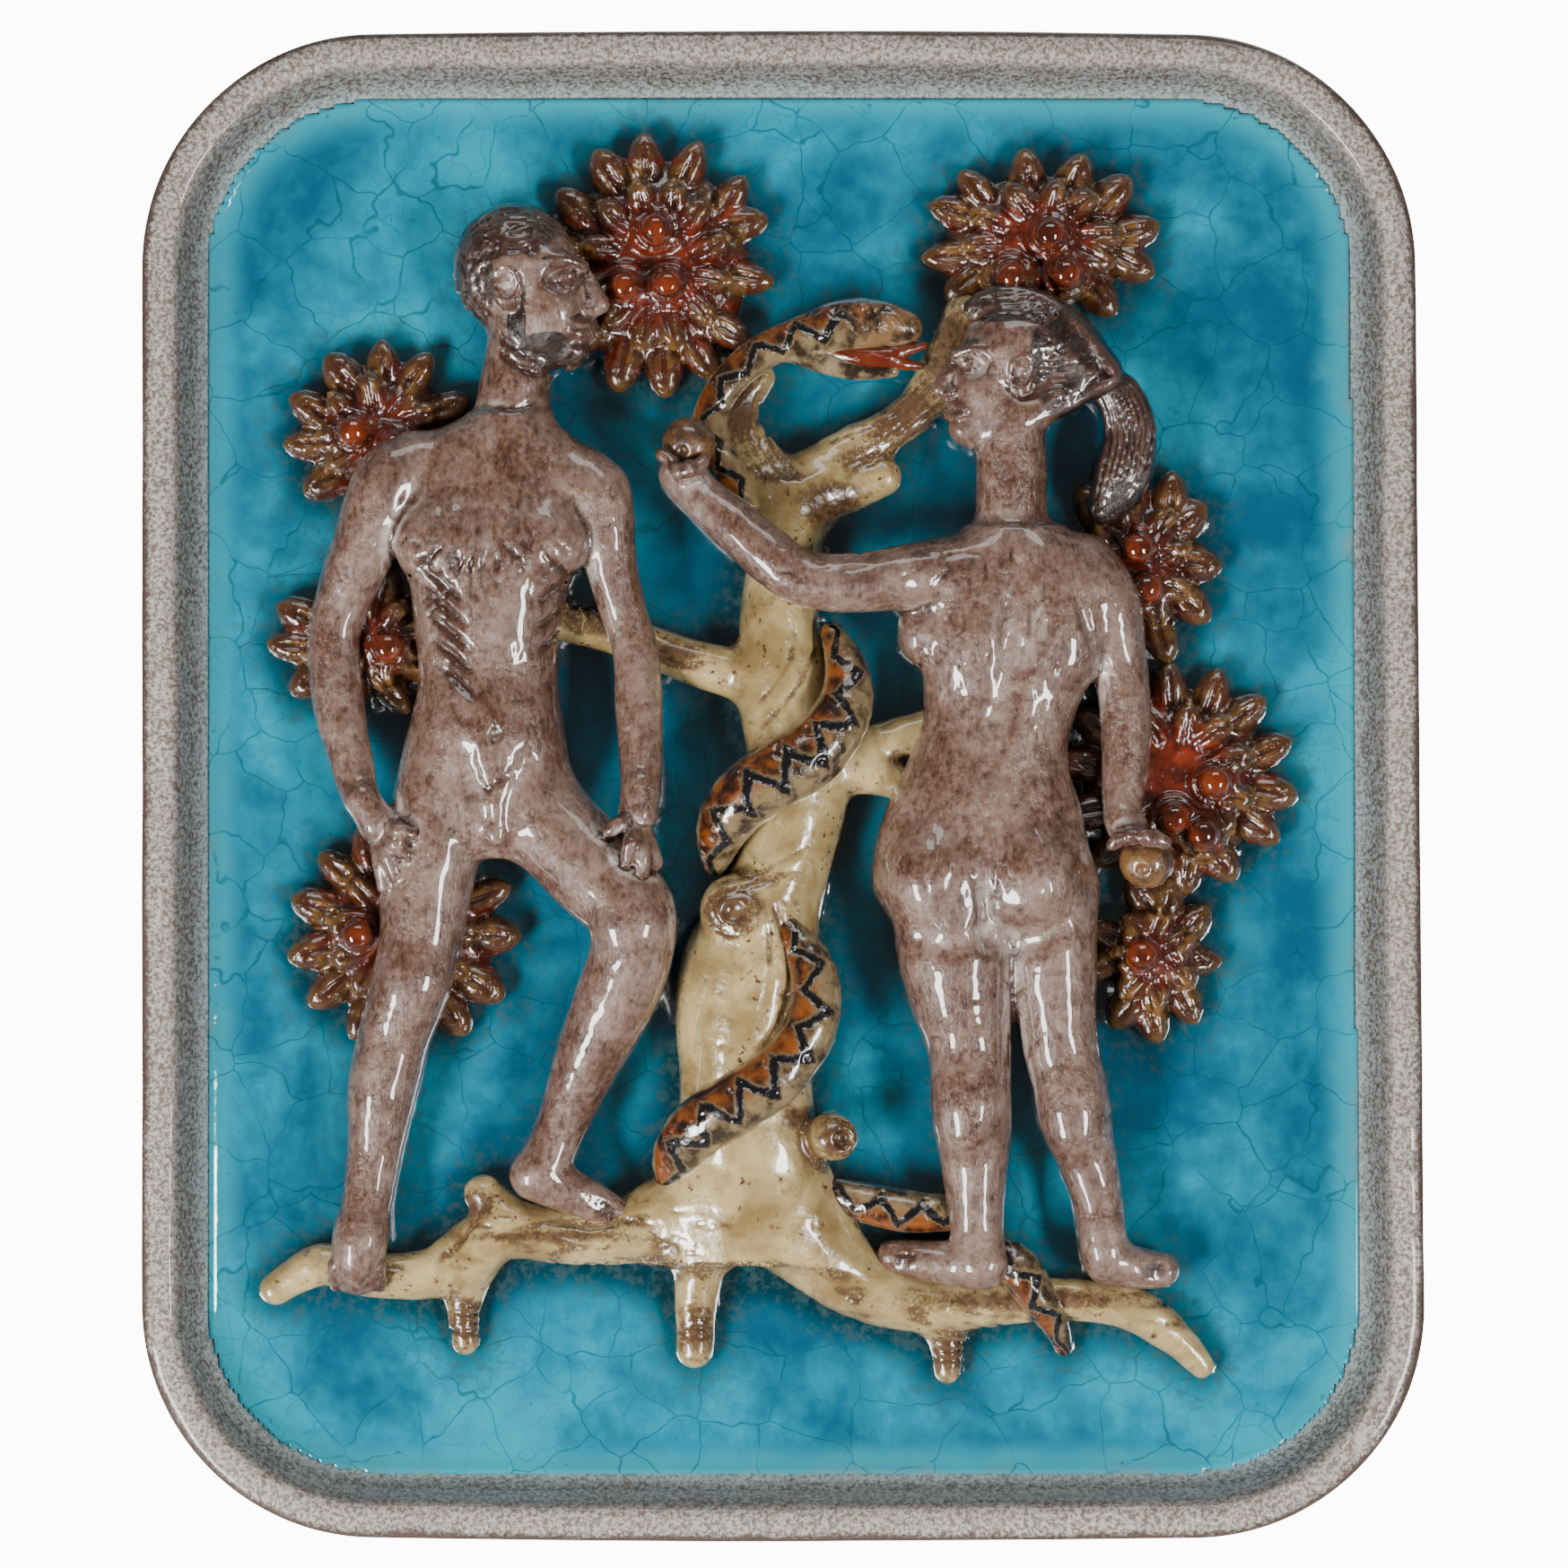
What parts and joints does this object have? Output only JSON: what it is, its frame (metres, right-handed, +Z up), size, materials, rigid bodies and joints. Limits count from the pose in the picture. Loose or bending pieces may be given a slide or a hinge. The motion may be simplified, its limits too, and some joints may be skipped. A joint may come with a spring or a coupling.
{
  "type": "ceramic relief plaque",
  "caption": "Glazed clay wall plaque: a rimmed tray with a relief of two figures, a snake and the tree of life over a turquoise pool of glaze.",
  "frame": {"origin": "the centre of the plaque in the wall plane, which the foot ring on its back rests against", "axes": "+Z up the plaque, +X to the viewer's right, +Y into the wall, so the relief faces -Y"},
  "size_m": [0.3195, 0.0519, 0.376],
  "materials": {
    "rim_glaze": "gloss",
    "turquoise_glaze": "gloss",
    "bare_clay": "matte",
    "bark_glaze": "gloss",
    "snake_glaze": "gloss",
    "tongue_glaze": "gloss",
    "skin_glaze": "gloss",
    "hair_glaze": "gloss",
    "apple_glaze": "gloss",
    "leaf_glaze": "gloss",
    "berry_glaze": "gloss"
  },
  "bodies": {
    "root": {"tray": "rim_glaze", "turquoise_glaze": "turquoise_glaze", "hanging_lug_left": "bare_clay", "hanging_lug_right": "bare_clay", "trunk": "bark_glaze", "root_left": "bark_glaze", "root_middle": "bark_glaze", "root_right": "bark_glaze", "branch_fork_left": "bark_glaze", "branch_fork_right": "bark_glaze", "branch_stub": "bark_glaze", "branch_left": "bark_glaze", "branch_right": "bark_glaze", "snake_head": "snake_glaze", "snake_tongue": "tongue_glaze", "snake_upper_coil": "snake_glaze", "snake_lower_coil": "snake_glaze", "snake_tail_loop": "snake_glaze", "snake_tail_tip": "snake_glaze", "man_torso": "skin_glaze", "man_head": "skin_glaze", "man_right_arm": "skin_glaze", "man_left_arm": "skin_glaze", "man_right_leg": "skin_glaze", "man_left_leg": "skin_glaze", "woman_torso": "skin_glaze", "woman_head": "skin_glaze", "woman_ponytail": "hair_glaze", "woman_left_arm": "skin_glaze", "woman_right_arm": "skin_glaze", "woman_left_leg": "skin_glaze", "woman_right_leg": "skin_glaze", "apple_raised": "apple_glaze", "apple_lowered": "apple_glaze", "foliage_top_left_pad": "leaf_glaze", "foliage_top_left_leaves": "leaf_glaze", "foliage_top_left_berries": "berry_glaze", "foliage_top_right_pad": "leaf_glaze", "foliage_top_right_leaves": "leaf_glaze", "foliage_top_right_berries": "berry_glaze", "foliage_left_upper_pad": "leaf_glaze", "foliage_left_upper_leaves": "leaf_glaze", "foliage_left_upper_berries": "berry_glaze", "foliage_left_lower_pad": "leaf_glaze", "foliage_left_lower_leaves": "leaf_glaze", "foliage_left_lower_berries": "berry_glaze", "foliage_bottom_left_pad": "leaf_glaze", "foliage_bottom_left_leaves": "leaf_glaze", "foliage_bottom_left_berries": "berry_glaze", "foliage_right_upper_pad": "leaf_glaze", "foliage_right_upper_leaves": "leaf_glaze", "foliage_right_upper_berries": "berry_glaze", "foliage_right_middle_pad": "leaf_glaze", "foliage_right_middle_leaves": "leaf_glaze", "foliage_right_middle_berries": "berry_glaze", "foliage_right_lower_pad": "leaf_glaze", "foliage_right_lower_leaves": "leaf_glaze", "foliage_right_lower_berries": "berry_glaze"}
  },
  "joints": []
}
